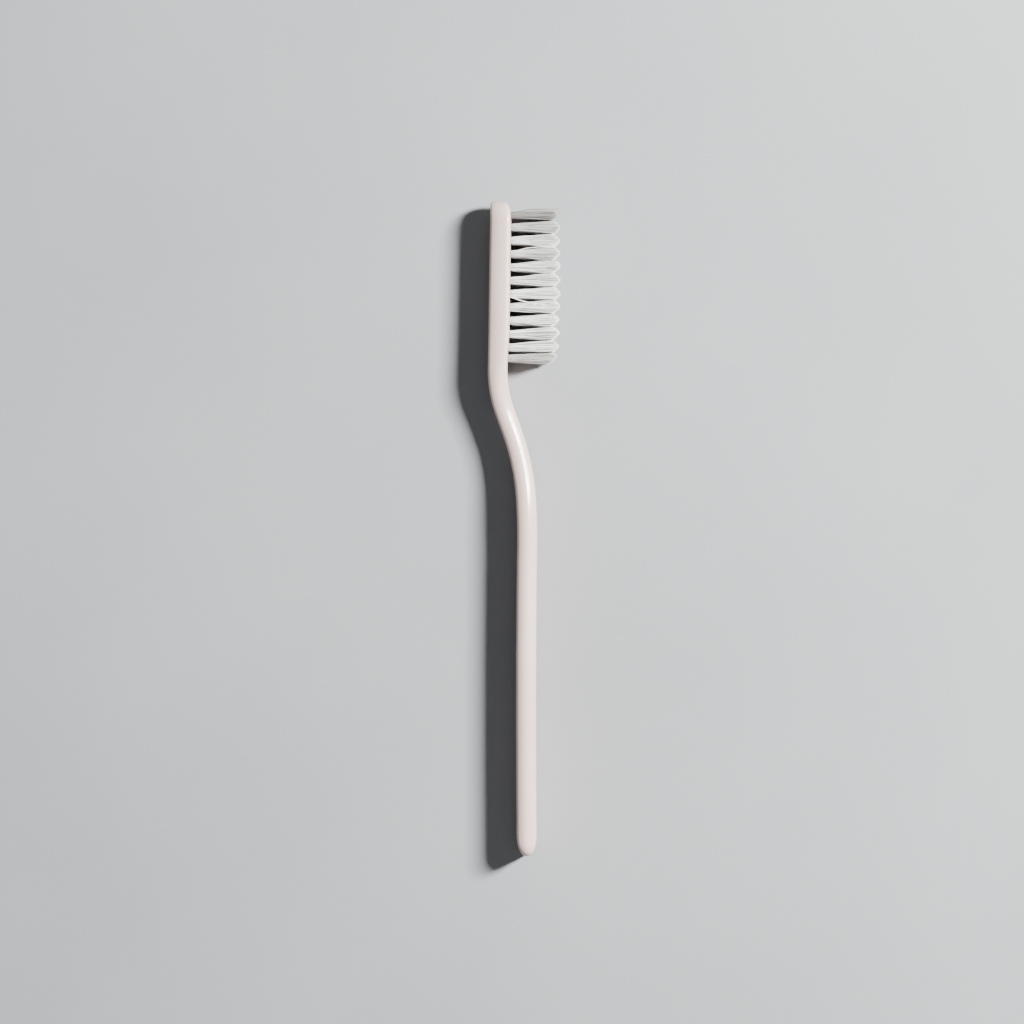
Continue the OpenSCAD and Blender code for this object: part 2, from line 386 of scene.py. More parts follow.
def end_share(run):
    """Share of the full thickness that is left near the handle's end."""
    left = HANDLE_LENGTH - run
    if left >= END_SIDE_ROUND:
        return 1.0
    return mix(END_FLAT, 1.0, quarter_arc(left / END_SIDE_ROUND))


def half_thickness(run):
    thickness = mix(NECK_THICKNESS, GRIP_THICKNESS, blend(run, FLARE_RUN, FLARE_LENGTH))
    return thickness * end_share(run) / 2


def front_face(run):
    """Height of the bristle side over the centreline."""
    extra = HEAD_EXTRA * (1 - blend(run, HEAD_LENGTH - TAPER_LENGTH, TAPER_LENGTH))
    return half_thickness(run) + extra - corner_inset(run, TOE_CORNER, TOE_DROP)


def back_face(run):
    """Height of the back, which is below the centreline."""
    return corner_inset(run, TOE_BACK_ROUND, TOE_BACK_ROUND) - half_thickness(run)


def half_width(run):
    """Half of the width, which is least between the shoulders and the flare."""
    to_neck = mix(BODY_WIDTH, NECK_WIDTH, blend(run, SHOULDER_RUN, SHOULDER_LENGTH))
    width = mix(to_neck, BODY_WIDTH, blend(run, FLARE_RUN, FLARE_LENGTH))
    at_toe = corner_inset(run, TOE_CORNER, TOE_CORNER)
    return width / 2 - at_toe - corner_inset(HANDLE_LENGTH - run, END_FRONT_ROUND, END_FRONT_DROP)


def on_side(run, head, rest):
    """A number of the side face, which changes where the head turns into the neck."""
    return mix(head, rest, blend(run, SIDE_RUN, SIDE_LENGTH))


def edge_radius(run):
    wanted = on_side(run, HEAD_EDGE, EDGE)
    return min(wanted, EDGE_LIMIT * (front_face(run) - back_face(run)), EDGE_LIMIT * 2 * half_width(run))


def section_sizes(run):
    """Sizes of one section in millimetres, and the slopes of its faces."""
    edge = edge_radius(run)
    front_tilt = math.radians(FRONT_TILT) * end_share(run) ** 2
    across_room = half_width(run) - edge
    front_drop = math.tan(front_tilt) * across_room / 2
    out_half = (front_face(run) - back_face(run)) / 2 - edge - front_drop
    # The side face rises to a blunt ridge, whose place is from -1 at the back to 1 at the front.
    # Its slopes swing over at the ridge and go on growing by the crown.
    swing = on_side(run, 0.0, SIDE_SWING)
    crown = on_side(run, HEAD_CROWN, SIDE_CROWN)
    lengths = {
        "edge": edge,
        "out_centre": (front_face(run) + back_face(run)) / 2,
        "out_half": out_half,
        "across_room": across_room,
        "front_drop": front_drop,
        "swing_drop": swing * out_half,
        "crown_drop": crown * out_half / 2,
    }
    angles = {
        "front_tilt": front_tilt,
        "ridge": on_side(run, HEAD_RIDGE, SIDE_RIDGE),
        "blunt": SIDE_BLUNT,
        "swing": swing,
        "crown": crown,
    }
    return {name: length * MM for name, length in lengths.items()} | angles


print("columns of tufts:", len(COLUMN_RUNS), "last one", round(COLUMN_RUNS[-1], 2), "mm from the toe")
print("flare from", round(FLARE_RUN, 1), "to", round(FLARE_END, 1), "mm along the centreline")

# %% [markdown]
# The stations lie closer together where the shape turns fast, at both ends and through the neck.
# Each station is one point of a small rail, and carries its own sizes as attributes.
# The first and the last station are there twice: the outer copy has size nought,
# so that the last ring shrinks to a point and closes the end.

# %% Lay the rail
END_TURNS = 20
HEAD_SPACING = 1.2
NECK_SPACING = 0.6
GRIP_SPACING = 1.8


def steps(start, end, spacing):
    count = max(1, round((end - start) / spacing))
    return [mix(start, end, i / count) for i in range(1, count + 1)]


def station_runs():
    """Places of the stations in millimetres, at even angles round both ends."""
    end_start = HANDLE_LENGTH - END_SIDE_ROUND
    angles = [math.radians(90 * i / END_TURNS) for i in range(END_TURNS + 1)]
    runs = [TOE_CORNER * (1 - math.cos(angle)) for angle in angles]
    runs += steps(TOE_CORNER, HEAD_LENGTH - TAPER_LENGTH, HEAD_SPACING)
    runs += steps(HEAD_LENGTH - TAPER_LENGTH, FLARE_END, NECK_SPACING)
    runs += steps(FLARE_END, end_start, GRIP_SPACING)
    runs += [end_start + END_SIDE_ROUND * math.sin(angle) for angle in angles[1:]]
    return runs


runs = station_runs()
runs = [runs[0]] + runs + [runs[-1]]
spots = [place(run) for run in runs]
sections = [section_sizes(run) for run in runs]
rail_sizes = {name: [section[name] for section in sections] for name in sections[0]}
rail_sizes["slope"] = [math.radians(slope) for x, y, slope in spots]
rail_sizes["size"] = [0.0] + [1.0] * (len(runs) - 2) + [0.0]
rail = mesh_object(
    "handle_moulding",
    [(x * MM, y * MM, BODY_WIDTH / 2 * MM) for x, y, slope in spots],
    attributes=rail_sizes,
)
print("stations on the rail:", len(runs))

# %% [markdown]
# Such a brush has one drilled hole for each tuft, here 1.8 mm across and 3.2 mm deep, with a little flare
# at its mouth. The cutter is turned like a part on a lathe, from an outline of radius and height.
# The same helper makes the single filament that every tuft repeats.

# %% Turn the hole cutter and the filament


def turns_round(sides):
    return [2 * math.pi * i / sides for i in range(sides)]


def tube_faces(rings, sides):
    """Faces of a closed tube, whose points are listed ring by ring."""
    faces = []
    for ring in range(rings - 1):
        low = ring * sides
        high = low + sides
        for i in range(sides):
            after = (i + 1) % sides
            faces.append((low + i, low + after, high + after, high + i))
    last = (rings - 1) * sides
    faces.append(tuple(reversed(range(sides))))
    faces.append(tuple(last + i for i in range(sides)))
    return faces


def turned(name, outline, sides):
    """Closed solid of revolution about Z, from (radius, height) pairs that go upwards."""
    points = [(r * math.cos(t), r * math.sin(t), h) for r, h in outline for t in turns_round(sides)]
    return mesh_object(name, points, tube_faces(len(outline), sides))


HOLE_RADIUS = 0.9
HOLE_DEPTH = 3.2
HOLE_SIDES = 32
# The hole's wall, the flare at its mouth, and a length that stands clear of the head
HOLE_OUTLINE = [(HOLE_RADIUS, -HOLE_DEPTH), (HOLE_RADIUS, -0.2)]
HOLE_OUTLINE += [(0.92, -0.09), (0.97, -0.01), (1.04, 0.04), (1.04, 0.6)]
cutter = turned("hole_cutter", [(r * MM, h * MM) for r, h in HOLE_OUTLINE], HOLE_SIDES)
FILAMENT_SIDES = 5
# Of radius 1 and length 1, with a blunted tip
FILAMENT_OUTLINE = [(1.0, u) for u in (0.0, 0.2, 0.38, 0.52, 0.66, 0.82, 0.985)] + [(0.6, 1.0)]
filament = turned("filament", FILAMENT_OUTLINE, FILAMENT_SIDES)
print("cutter and filament, faces:", len(cutter.data.polygons), len(filament.data.polygons))

# %% [markdown]
# Where the holes are comes from the same pattern as the tufts: twelve columns along the head,
# four rows in the ten main columns, and three nested rows in each end column.
# One list of spots serves the holes and the tufts, so the two can't come apart.

# %% Spots of the tufts
ROW_PITCH = 2.65


def tuft_spots():
    """Column, row, and the matrix of a tuft: X out of the head's face, Y to the toe, Z across."""
    for column, run in enumerate(COLUMN_RUNS):
        rows = 3 if column in (0, len(COLUMN_RUNS) - 1) else 4
        x, y, slope = place(run)
        turn = math.radians(slope)
        face = front_face(run)
        for row in range(rows):
            across = BODY_WIDTH / 2 + (row - (rows - 1) / 2) * ROW_PITCH
            mouth = (x + face * math.cos(turn), y + face * math.sin(turn), across)
            yield column, row, Matrix.Translation([c * MM for c in mouth]) @ Matrix.Rotation(turn, 4, "Z")


tufts = list(tuft_spots())
hole_points = mesh_object("hole_points", [matrix.translation for column, row, matrix in tufts])
print("tufts:", len(tufts))

# %% [markdown]
# The tree lays a grid of points and bends it round the rail: one line of the grid for each station,
# and one point of the line for each step round the section.
# A step's angle says which corner it belongs to. Near the middle of a side the angle slides the point
# along the flat, and near a diagonal it turns the point round the corner's arc.
# A side's ridge is a drop that grows away from its crest, and each arc starts at the tilt of its face.
# After that the seam and the two ends are merged, and the cutters are placed and taken away.

# %% Tree of the handle
RIGHT_ANGLE = math.pi / 2
# Keeps a step on a quarter turn from being rounded down
NUDGE = 0.0001
MERGE_DISTANCE = 0.000002


def handle_tree():
    tree, bench, given = geometry_tree(
        "Moulded handle",
        [("Stations", "Int"), ("Steps round", "Int")]
        + floats("Flat share", "Head slope")
        + [("Hole points", "Object"), ("Hole cutter", "Object"), ("Material", "Material")],
    )
    rows = given["Steps round"] + 1
    grid = bench.add("GeometryNodeMeshGrid", {"Vertices X": given["Stations"], "Vertices Y": rows})
    index = bench.flow(bench.add("GeometryNodeInputIndex"))
    station = bench.sum("FLOOR", (index + 0.5) / rows)
    step = index - station * rows
    turn = step / given["Steps round"] * (2 * math.pi)

    def at_station(value, kind="FLOAT"):
        inputs = {"Geometry": given["Geometry"], "Value": value, "Index": station}
        return bench.flow(bench.add("GeometryNodeSampleIndex", inputs, data_type=kind))

    def attribute(name):
        node = bench.add("GeometryNodeInputNamedAttribute", {"Name": name}, data_type="FLOAT")
        return at_station(bench.flow(node, "Attribute"))

    def limited(value):
        """Value held between -1 and 1."""
        return bench.sum("MINIMUM", bench.sum("MAXIMUM", value, -1.0), 1.0)

    # Which corner the step is at, from -1 to 1 both ways, and the direction on the corner's arc
    flat = given["Flat share"] * (RIGHT_ANGLE / 2)
    reach = bench.sum("SINE", flat)
    at_out = limited(bench.sum("COSINE", turn) / reach)
    at_across = limited(bench.sum("SINE", turn) / reach)
    quarter = bench.sum("FLOOR", turn / RIGHT_ANGLE + NUDGE)
    in_quarter = turn - quarter * RIGHT_ANGLE
    round_share = bench.clamp((in_quarter - flat) / (RIGHT_ANGLE - flat * 2))
    arc = (quarter + round_share) * RIGHT_ANGLE

    # The side face: how far the point is from the ridge, its slope there and its drop below the ridge
    from_ridge = at_out - attribute("ridge")
    blunt = attribute("blunt")
    crest = bench.sum("SQRT", from_ridge * from_ridge + blunt * blunt)
    side_slope = from_ridge * (attribute("swing") / crest + attribute("crown"))
    side_turn = bench.sum("ARCTANGENT", side_slope)
    side_drop = attribute("swing_drop") * (crest - blunt) + attribute("crown_drop") * from_ridge * from_ridge

    # Bulged faces, and corner arcs that start and end at the faces' own tilt
    front_share = bench.sum("POWER", bench.sum("COSINE", arc), 2.0)
    front_turn = at_out * attribute("front_tilt")
    normal = arc + at_across * (front_turn * front_share - side_turn * (1.0 - front_share))
    edge = attribute("edge")
    size = attribute("size")
    front_rise = attribute("front_drop") * (1.0 - at_across * at_across)
    out_here = at_out * (attribute("out_half") + front_rise) + edge * bench.sum("COSINE", normal)
    across_here = at_across * (attribute("across_room") - side_drop) + edge * bench.sum("SINE", normal)
    out = attribute("out_centre") + size * out_here
    across = size * across_here

    slope = attribute("slope")
    position = bench.flow(bench.add("GeometryNodeInputPosition"))
    x, y, z = bench.parts(at_station(position, "FLOAT_VECTOR"))
    place_of_point = bench.vector(
        x + out * bench.sum("COSINE", slope), y + out * bench.sum("SINE", slope), z - across
    )
    bent = bench.add(
        "GeometryNodeSetPosition", {"Geometry": grid.outputs["Mesh"], "Position": place_of_point}
    )
    closed = bench.add(
        "GeometryNodeMergeByDistance", {"Geometry": bent.outputs["Geometry"], "Distance": MERGE_DISTANCE}
    )

    # The holes: one cutter for each spot, upright on the head's face
    spots = bench.add("GeometryNodeObjectInfo", {"Object": given["Hole points"]})
    cutter_shape = bench.add("GeometryNodeObjectInfo", {"Object": given["Hole cutter"]})
    upright = bench.vector(0.0, RIGHT_ANGLE, given["Head slope"])
    placing = {"Points": spots.outputs["Geometry"], "Instance": cutter_shape.outputs["Geometry"]}
    cutters = bench.add("GeometryNodeInstanceOnPoints", placing | {"Rotation": upright})
    real_cutters = bench.add("GeometryNodeRealizeInstances", {"Geometry": cutters.outputs["Instances"]})
    meshes = {"Mesh 1": closed.outputs["Geometry"], "Mesh 2": real_cutters.outputs["Geometry"]}
    drilled = bench.add("GeometryNodeMeshBoolean", meshes, operation="DIFFERENCE", solver="MANIFOLD")
    smooth = bench.add("GeometryNodeSetShadeSmooth", {"Geometry": drilled.outputs["Mesh"]})
    end_tree(bench, smooth.outputs["Geometry"], given["Material"])
    return tree


moulding_tree = handle_tree()
print("nodes in the handle's tree:", len(moulding_tree.nodes))

# %% [markdown]
# Each tuft is a bundle of nylon filaments, folded in two and stapled into its hole by a flat anchor.
# It leaves the hole as a tight round bundle, fans out, meets its neighbours at about three quarters of its
# height, and goes on side by side with them. The ends are trimmed to a ridge in each column, so that the
# brush shows a row of teeth from the side. Use has made the tufts lean a little towards the toe.
# A hair system could grow the filaments, but it exports badly.
# A tree that repeats one filament on a packed pattern keeps every size of that rule as an input.

# %% Tree of a tuft
# Turns in radians, from root to root and from tuft to tuft
GOLDEN_ANGLE = 2.399963
TURN_PER_TUFT = 1.7
# Random draws that each tuft has room for
DRAWS_PER_TUFT = 16
# How square the tips of a bundle stand, from 0 to 1
SQUARE_SHARE = 0.75
# Random offset of a tip, where 1 is half the tuft's width
TIP_JITTER = 0.05
# Part of a filament's shade that it shares with its neighbours: the painted light and shade of its streak
PAINTED_STREAK_SHARE = 0.7
# Steps from one tuft to the next through the noises
CLUMP_LAYER = 3.7
STREAK_LAYER = 5.3
# Filaments end lower where the clumps' noise is above this
CLUMP_START = 0.45
NOISE_GAIN = 4.0


def tuft_tree():
    tree, bench, given = geometry_tree(
        "Tuft of bristles",
        [("Filaments", "Int"), ("Seed", "Int"), ("Filament", "Object")]
        + floats("Filament radius", "Bundle radius", "Root depth", "Toe reach", "Neck reach", "Row reach")
        + floats("Meeting height", "Height", "Trim slope", "Peak offset", "Blunt length", "Uneven trim")
        + floats("Clump depth", "Clump size", "Streak size", "Waver", "Lean", "Greyness")
        + [("Material", "Material")],
    )
    index = bench.flow(bench.add("GeometryNodeInputIndex"))

    def chance(low, high, draw):
        inputs = {"Min": low, "Max": high, "ID": index, "Seed": given["Seed"] * DRAWS_PER_TUFT + draw}
        return bench.flow(bench.add("FunctionNodeRandomValue", inputs, data_type="FLOAT"))

    def noise_over_tips(size, layer):
        spot = bench.vector(tip_along / size, tip_across / size, given["Seed"] * layer)
        return bench.noise(spot, 1.0, 0.0)

    # Roots packed like the seeds of a sunflower: each one turned by the golden angle from the last
    share = bench.sum("SQRT", (index + 0.5) / given["Filaments"])
    turn = index * GOLDEN_ANGLE + given["Seed"] * TURN_PER_TUFT
    cosine = bench.sum("COSINE", turn)
    sine = bench.sum("SINE", turn)
    # The round bundle opens into a nearly square one, which fills the corners between its neighbours
    squarer = bench.sum("MAXIMUM", bench.sum("ABSOLUTE", cosine), bench.sum("ABSOLUTE", sine))
    spread = share * mix(1.0, 1.0 / squarer, SQUARE_SHARE)
    tip_along = cosine * spread + chance(-TIP_JITTER, TIP_JITTER, 1)
    tip_across = sine * spread + chance(-TIP_JITTER, TIP_JITTER, 2)
    to_toe = bench.sum("GREATER_THAN", tip_along, 0.0)
    tip_along = tip_along * mix(given["Neck reach"], given["Toe reach"], to_toe)
    tip_across = tip_across * given["Row reach"]
    # The ridge of the trim is blunt: its slope starts softly on each side of the peak
    from_peak = tip_along - given["Peak offset"]
    blunt = given["Blunt length"]
    cut = (bench.sum("SQRT", from_peak * from_peak + blunt * blunt) - blunt) * given["Trim slope"]
    uneven = chance(0.0, 1.0, 3)
    # Filaments that bend together in use end at one height, so the trim is also uneven in clumps
    clump = noise_over_tips(given["Clump size"], CLUMP_LAYER)
    low = bench.clamp((clump - CLUMP_START) * NOISE_GAIN) * given["Clump depth"]
    height = given["Height"] - cut - low - given["Uneven trim"] * uneven * uneven
    # Neighbours that lie alike catch the light alike; that light and shade is painted into their colour as
    # streaks along the tuft
    streaks = noise_over_tips(given["Streak size"], STREAK_LAYER)
    painted_streak = bench.clamp((streaks - 0.5) * NOISE_GAIN + 0.5)

    points = bench.add("GeometryNodePoints", {"Count": given["Filaments"]})
    captured = bench.add("GeometryNodeCaptureAttribute", {"Geometry": points.outputs[0]})
    kept = {
        "root along": cosine * share * given["Bundle radius"],
        "root across": sine * share * given["Bundle radius"],
        "tip along": tip_along,
        "tip across": tip_across,
        "height": height,
        "bend along": chance(-1.0, 1.0, 4) * given["Waver"],
        "bend across": chance(-1.0, 1.0, 5) * given["Waver"],
        "wave": chance(-1.0, 1.0, 7) * given["Waver"],
        # A filament's shade is partly its own random tone and mostly the painted light and shade of its
        # streak
        "shade": mix(chance(0.0, 1.0, 6), painted_streak, PAINTED_STREAK_SHARE),
    }
    for name, value in kept.items():
        captured.capture_items.new("FLOAT", name)
        bench.feed(captured, name, value)
    own = {name: Flow(bench, captured.outputs[name]) for name in kept}

    shape = bench.add("GeometryNodeObjectInfo", {"Object": given["Filament"]})
    repeated = bench.add(
        "GeometryNodeInstanceOnPoints",
        {"Points": captured.outputs["Geometry"], "Instance": shape.outputs["Geometry"]},
    )
    real = bench.add("GeometryNodeRealizeInstances", {"Geometry": repeated.outputs["Instances"]})

    # A point of a filament: how far up it is, from 0 to 1, and its offset round the filament's axis
    position = bench.flow(bench.add("GeometryNodeInputPosition"))
    side_a, side_b, up = bench.parts(position)
    geometry = real.outputs["Geometry"]
    # The material reads how far up a point is, its shade, and the column's painted shade as its grey
    for name, value in (("along", up), ("shade", own["shade"]), ("grey", given["Greyness"])):
        stored = bench.add(
            "GeometryNodeStoreNamedAttribute",
            {"Geometry": geometry, "Name": name, "Value": value},
            data_type="FLOAT",
            domain="POINT",
        )
        geometry = stored.outputs["Geometry"]
    height_here = mix(given["Root depth"] * -1.0, own["height"], up)
    opened = bench.clamp(height_here / given["Meeting height"])
    bow = bench.sum("SINE", up * math.pi)
    wave = bench.sum("SINE", up * (2 * math.pi)) * own["wave"]
    leaning = height_here * given["Lean"]
    along = mix(own["root along"], own["tip along"], opened) + bow * own["bend along"] + wave
    along = along + leaning
    across = mix(own["root across"], own["tip across"], opened) + bow * own["bend across"]
    radius = given["Filament radius"]
    place_of_point = bench.vector(height_here, along + side_a * radius, across + side_b * radius)
    placed = bench.add("GeometryNodeSetPosition", {"Geometry": geometry, "Position": place_of_point})
    smooth = bench.add("GeometryNodeSetShadeSmooth", {"Geometry": placed.outputs["Geometry"]})
    end_tree(bench, smooth.outputs["Geometry"], given["Material"])
    return tree


bundle_tree = tuft_tree()
print("nodes in a tuft's tree:", len(bundle_tree.nodes))

# %% [markdown]
# Materials come next, because each tree ends by giving its piece one.
# Moulded plastic, cut metal and the table top all share two things: their tone drifts a little over
# centimetres, and the surface has a very fine texture. That is one node group, placed in each material
# with its own values. Dust specks are in it too, for the plastic has a few.

# %% Shared surface group


def real_surface():
    tree, bench, given = new_group(
        "Real surface",
        "ShaderNodeTree",
        [("Coordinates", "Vector"), ("Colour", "Color"), ("Other tone", "Color"), ("Speck colour", "Color")]
        + floats("Tone scale", "Speck scale", "Speck size", "Speck share")
        + floats("Grain scale", "Ripple scale", "Ripple share"),
        [("Colour", "Color"), ("Wear", "Float"), ("Height", "Float")],
    )
    where = given["Coordinates"]
    drift = bench.noise(where, given["Tone scale"], 3.0)
    toned = bench.colour(given["Colour"], given["Other tone"], bench.stretched(drift))
    cells = bench.add("ShaderNodeTexVoronoi", {"Vector": where, "Scale": given["Speck scale"]})
    near = bench.sum("LESS_THAN", bench.flow(cells, "Distance"), given["Speck size"])
    pick = bench.parts(bench.flow(cells, "Color"))[0]
    speck = near * bench.sum("LESS_THAN", pick, given["Speck share"])
    specked = bench.colour(toned, given["Speck colour"], speck)
    grain = bench.noise(where, given["Grain scale"], 4.0)
    ripple = bench.noise(where, given["Ripple scale"], 1.0)
    height = mix(grain, ripple, given["Ripple share"])
    outlet = tree.nodes.new("NodeGroupOutput")
    for title, value in (("Colour", specked), ("Wear", drift), ("Height", height)):
        bench.feed(outlet, title, value)
    return tree


surface_group = real_surface()
print("nodes in the shared surface:", len(surface_group.nodes))


def new_material(name, **constants):
    """Material with a Principled BSDF, whose constants are set on its own sockets."""
    material = bpy.data.materials.new(name)
    material.use_nodes = True
    bench = Bench(material.node_tree)
    shader = material.node_tree.nodes["Principled BSDF"]
    for title, value in constants.items():
        shader.inputs[title.replace("_", " ")].default_value = value
    coordinates = bench.flow(bench.add("ShaderNodeTexCoord"), "Object")
    return material, bench, shader, coordinates


def rough_between(bench, shader, wear, low, high):
    bench.feed(shader, "Roughness", wear * (high - low) + low)


def bump_from(bench, shader, height, distance):
    bump = bench.add("ShaderNodeBump", {"Height": height, "Distance": distance, "Strength": 1.0})
    bench.feed(shader, "Normal", bump.outputs["Normal"])


def surfaced_material(name, values, roughness, bump, **constants):
    """Material that shows the shared surface just as it comes."""
    material, bench, shader, coordinates = new_material(name, **constants)
    inputs = {"Coordinates": coordinates} | values
    surface = bench.add("ShaderNodeGroup", inputs, node_tree=surface_group)
    bench.feed(shader, "Base Color", surface.outputs["Colour"])
    rough_between(bench, shader, bench.flow(surface, "Wear"), *roughness)
    bump_from(bench, shader, surface.outputs["Height"], bump)
    return material


# %% [markdown]
# The handle is one moulding of white plastic with a trace of pink, such as cellulose acetate or
# polypropylene. It is polished but not mirror-like: highlights are soft, light goes a little way in,
# and a few dust specks sit on it. Very low ripples of the mould bend the highlights, and faint lines
# from polishing and use run along it, which a noise stretched along the handle gives.

# %% Plastic of the handle
LINE_SCALE = 2600.0
# The noise of the lines runs this much slower along the handle
LINE_STRETCH = 0.05
LINE_WEAR = 0.5
LINE_DEPTH = 0.12


def handle_plastic():
    material, bench, shader, coordinates = new_material(
        "Pinkish white plastic",
        Subsurface_Weight=0.15,
        Subsurface_Radius=(1.0, 0.75, 0.65),
        Subsurface_Scale=0.0012,
        IOR=1.49,
    )
    surface = bench.add(
        "ShaderNodeGroup",
        {
            "Coordinates": coordinates,
            "Colour": (0.585, 0.445, 0.40, 1),
            "Other tone": (0.615, 0.475, 0.43, 1),
            "Tone scale": 60.0,
            "Speck colour": (0.16, 0.12, 0.10, 1),
            "Speck scale": 260.0,
            "Speck size": 0.028,
            "Speck share": 0.16,
            "Grain scale": 5200.0,
            "Ripple scale": 420.0,
            "Ripple share": 0.75,
        },
        node_tree=surface_group,
    )
    side, length, width = bench.parts(coordinates)
    drawn_out = bench.vector(side, length * LINE_STRETCH, width)
    lines = bench.stretched(bench.noise(drawn_out, LINE_SCALE, 3.0))
    bench.feed(shader, "Base Color", surface.outputs["Colour"])
    wear = mix(bench.flow(surface, "Wear"), lines, LINE_WEAR)
    rough_between(bench, shader, wear, low=0.16, high=0.32)
    bump_from(bench, shader, bench.flow(surface, "Height") + lines * LINE_DEPTH, distance=0.00003)
    return material


plastic = handle_plastic()
print("nodes in the plastic:", len(plastic.node_tree.nodes))

# %% [markdown]
# The bristles are nylon: near white, a little see-through and glossy along their length.
# Each filament has a random tone of its own, and the streaks along a tuft are painted light and shade.
# The roots are painted lighter and the loose tips greyer, as painted light and painted shade, and painted
# shade greys the first two columns, the fourth and the last. The tree stores three numbers on each filament
# for this: its shade, part random tone and part painted streak, its grey, which on a column is painted
# shade, and how far up a point is. A fully grey filament is an old one, with brown bits on it.

# %% Nylon of the bristles
CLOUD_SCALE = 900.0
GRAIN_SCALE = 9000.0
# Share of a filament's lighter tone: its shade, with the painted light and shade of its streak, counts most,
# and a cloudy noise a little
SHADE_GAIN = 2.2
CLOUD_GAIN = 0.4
TONE_START = 0.2
# Strength of the painted light on the roots and of the painted shade on the tips
ROOT_SHARE = 0.7
TIP_SHARE = 0.4
# Filaments greyer than this carry brown bits, where the cloudy noise is above the second number
OLD_GREY = 0.9
BIT_START = 0.55


def nylon(name, dark, light, root_painted_light, tip_painted_shade, grey_and_shade_tone, brown):
    material, bench, shader, coordinates = new_material(
        name,
        Subsurface_Weight=0.25,
        Subsurface_Radius=(1.0, 1.0, 0.95),
        Subsurface_Scale=0.0005,
        IOR=1.53,
    )

    def stored(title):
        return bench.flow(bench.add("ShaderNodeAttribute", attribute_name=title), "Fac")

    shade = stored("shade")
    along = stored("along")
    grey = stored("grey")
    cloud = bench.noise(coordinates, CLOUD_SCALE, 2.0)
    lightness = bench.clamp(shade * SHADE_GAIN + cloud * CLOUD_GAIN - TONE_START)
    # The painted light on the root is full up to 7 % of the length and gone at 40 %. The painted shade on
    # the tip begins at 38 %
    at_root = bench.clamp(1.2 - along * 3.0)
    at_tip = bench.clamp(along * 1.6 - 0.6)
    toned = bench.colour(dark, light, lightness)
    rooted = bench.colour(toned, root_painted_light, at_root * ROOT_SHARE)
    shaded = bench.colour(rooted, tip_painted_shade, at_tip * TIP_SHARE)
    # Painted shade greys the darker columns; on the old stray filament the same grey is its real colour
    greyed = bench.colour(shaded, grey_and_shade_tone, grey)
    bits = bench.sum("GREATER_THAN", cloud, BIT_START) * bench.sum("GREATER_THAN", grey, OLD_GREY)
    bench.feed(shader, "Base Color", bench.colour(greyed, brown, bits))
    rough_between(bench, shader, cloud, low=0.30, high=0.48)
    bump_from(bench, shader, bench.noise(coordinates, GRAIN_SCALE, 2.0), distance=0.00001)
    return material


bristle_nylon = nylon(
    "White nylon",
    # The dark tone is the painted shade of the dark streaks; the light tone is the nylon's own near white
    dark=(0.13, 0.135, 0.125, 1),
    light=(0.98, 0.98, 0.95, 1),
    root_painted_light=(0.98, 0.98, 0.96, 1),
    tip_painted_shade=(0.62, 0.63, 0.60, 1),
    grey_and_shade_tone=(0.14, 0.133, 0.125, 1),
    brown=(0.24, 0.13, 0.07, 1),
)
print("nodes in the nylon:", len(bristle_nylon.node_tree.nodes))

# %% [markdown]
# The anchors are punched from brass strip. They are hidden under the tufts, but a piece without a finish
# would spoil any view into the holes, so they get a worn, slightly dark brass.

# %% Brass of the anchors
brass = surfaced_material(
    "Anchor brass",
    {
        "Colour": (0.72, 0.50, 0.20, 1),
        "Other tone": (0.60, 0.40, 0.17, 1),
        "Tone scale": 900.0,
        "Speck colour": (0.30, 0.20, 0.10, 1),
        "Speck scale": 1500.0,
        "Speck size": 0.1,
        "Speck share": 0.2,
        "Grain scale": 16000.0,
        "Ripple scale": 2500.0,
        "Ripple share": 0.4,
    },
    roughness=(0.25, 0.5),
    bump=0.00001,
    Metallic=1.0,
)
print("nodes in the brass:", len(brass.node_tree.nodes))

# %% [markdown]
# Now the trees run. The handle's mesh replaces the plain CAD handle, whose long flats and few sections
# would show as facets in the highlights. Edges sharper than 32 degrees, such as those of the holes,
# keep a hard shading break.

# %% Make the handle
SHARP_ANGLE = 32
run_tree(
    rail,
    moulding_tree,
    {
        "Stations": len(runs),
        "Steps round": 64,
        "Flat share": 0.45,
        "Head slope": math.radians(-HEAD_LEAN),
        "Hole points": hole_points,
        "Hole cutter": cutter,
        "Material": plastic,
    },
)
handle = rail
handle.data.set_sharp_from_angle(angle=math.radians(SHARP_ANGLE))
print("handle: faces", len(handle.data.polygons), "volume and open edges", volume(handle))
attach(handle, "root")
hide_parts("handle")

# %% [markdown]
# A machine fills the holes one by one, so no tuft is quite like the next: here each column's ridge is
# a little off its middle and a little higher or lower, and each tuft has its own seed.
# A few filaments went astray in use. One has left the first column towards the toe and has turned dark,
# one leans from the fourth column towards the toe, and two lean from the seventh column to the eighth.
# They are bent tubes, joined to their own tuft.

# %% Make the tufts
TIP_GAP = 0.12
BUNDLE_RADIUS = 0.785
FILAMENT_RADIUS = 0.08
BRISTLE_HEIGHT = 12.62
MEETING_HEIGHT = 9.3
STRAY_RADIUS = 0.12
TRIM_SLOPE = 1.12
LAST_TRIM_SLOPE = 1.2
# Lengths by which the end columns spread on their free side, and are trimmed lower
TOE_SPREAD = 0.2
HEEL_SPREAD = 0.7
END_DROP = 0.6
# In use the tufts have come to lean this much towards the toe, as a slope
TUFT_LEAN = 0.025


